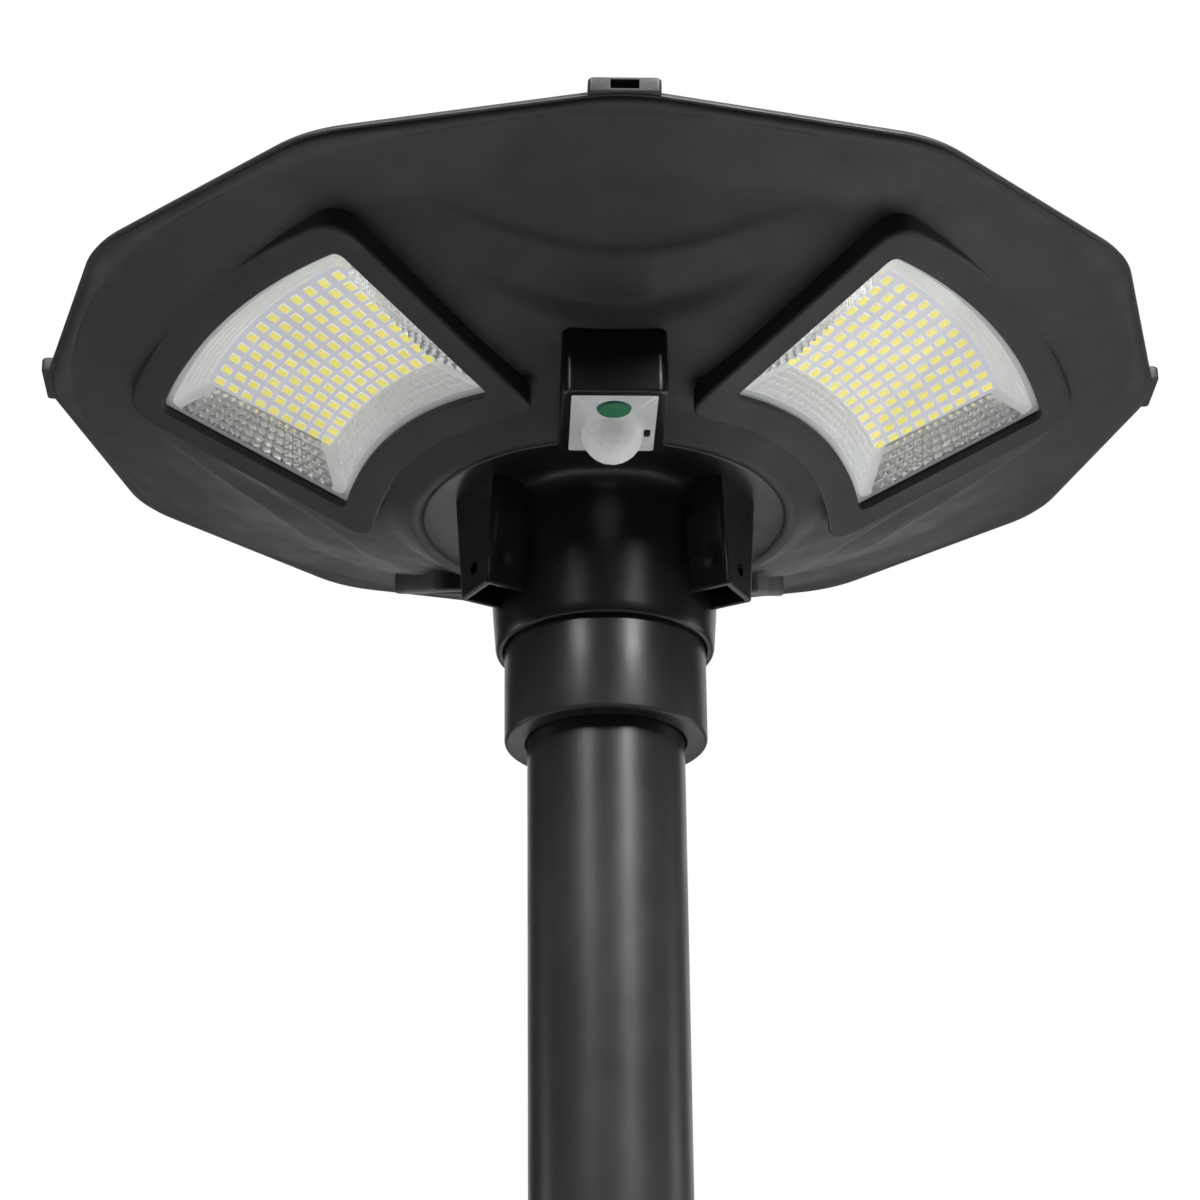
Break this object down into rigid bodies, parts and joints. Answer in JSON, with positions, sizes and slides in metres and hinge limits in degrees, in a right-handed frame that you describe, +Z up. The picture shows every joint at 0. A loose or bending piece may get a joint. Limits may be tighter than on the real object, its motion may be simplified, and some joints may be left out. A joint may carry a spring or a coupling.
{
  "type": "solar street lamp",
  "caption": "Round twelve-sided solar street lamp head with tilted LED windows, motion sensor box and push button, held on a pole stub by a ribbed clamp socket.",
  "frame": {"origin": "centre of the pole stub's lower end, on the pole's axis", "axes": "+Z up along the pole, -Y towards the sensor box"},
  "size_m": [0.5592, 0.5592, 0.442],
  "materials": {
    "pole_paint": "satin",
    "housing_abs": "satin",
    "socket_abs": "semi-gloss",
    "seal_rubber": "matte",
    "panel_glass": "polished",
    "solar_cells": "gloss",
    "inner_plastic": "matte",
    "label_silver": "brushed",
    "dome_white": "satin",
    "fastener_steel": "satin",
    "board_green": "satin",
    "button_green": "satin",
    "wire_black": "satin",
    "wire_red": "satin",
    "cell_wrap": "satin",
    "plain_aluminium": "mill",
    "clear_lens": "polished",
    "reflector_white": "gloss",
    "led_board": "satin"
  },
  "bodies": {
    "pole": {"pole_tube": "pole_paint", "adapter_sleeve": "pole_paint"},
    "head": {"lower_housing": "housing_abs", "upper_cover": "housing_abs", "rim_seal": "seal_rubber", "pole_socket": "socket_abs", "solar_glass": "panel_glass", "solar_laminate": "solar_cells", "panel_junction_box": "inner_plastic", "sensor_box": "socket_abs", "label_plate": "label_silver", "pir_dome": "dome_white", "pir_sensor": "fastener_steel", "sensor_board": "board_green", "tactile_switch": "inner_plastic", "sensor_wire": "wire_black", "battery_tray": "inner_plastic", "battery_clamp": "plain_aluminium", "controller_board": "board_green", "battery_wire": "wire_red", "panel_wire": "wire_black", "cover_screw_1": "fastener_steel", "cover_screw_2": "fastener_steel", "cover_screw_3": "fastener_steel", "cover_screw_4": "fastener_steel", "cover_screw_5": "fastener_steel", "cover_screw_6": "fastener_steel", "socket_bolt_1": "fastener_steel", "socket_bolt_2": "fastener_steel", "socket_bolt_3": "fastener_steel", "battery_cell_1": "cell_wrap", "battery_cell_2": "cell_wrap", "battery_cell_3": "cell_wrap", "battery_cell_4": "cell_wrap", "lens_right": "clear_lens", "lens_gasket_right": "seal_rubber", "reflector_tray_right": "reflector_white", "led_board_right": "led_board", "heat_sink_right": "plain_aluminium", "led_wire_right": "wire_red", "clamp_screw_right": "fastener_steel", "lens_rear": "clear_lens", "lens_gasket_rear": "seal_rubber", "reflector_tray_rear": "reflector_white", "led_board_rear": "led_board", "heat_sink_rear": "plain_aluminium", "led_wire_rear": "wire_red", "clamp_screw_rear": "fastener_steel", "lens_left": "clear_lens", "lens_gasket_left": "seal_rubber", "reflector_tray_left": "reflector_white", "led_board_left": "led_board", "heat_sink_left": "plain_aluminium", "led_wire_left": "wire_red", "clamp_screw_left": "fastener_steel"},
    "button": {"power_button": "button_green"}
  },
  "joints": [
    {"name": "head_turn", "type": "hinge", "parent": "pole", "child": "head", "pos_m": [0, 0, 0.3], "axis": [0, 0, 1], "continuous": true},
    {"name": "button_press", "type": "slide", "parent": "head", "child": "button", "axis": [0, 0, 1], "range_m": [0, 0.0015], "stiffness_N_per_m": 1500}
  ]
}
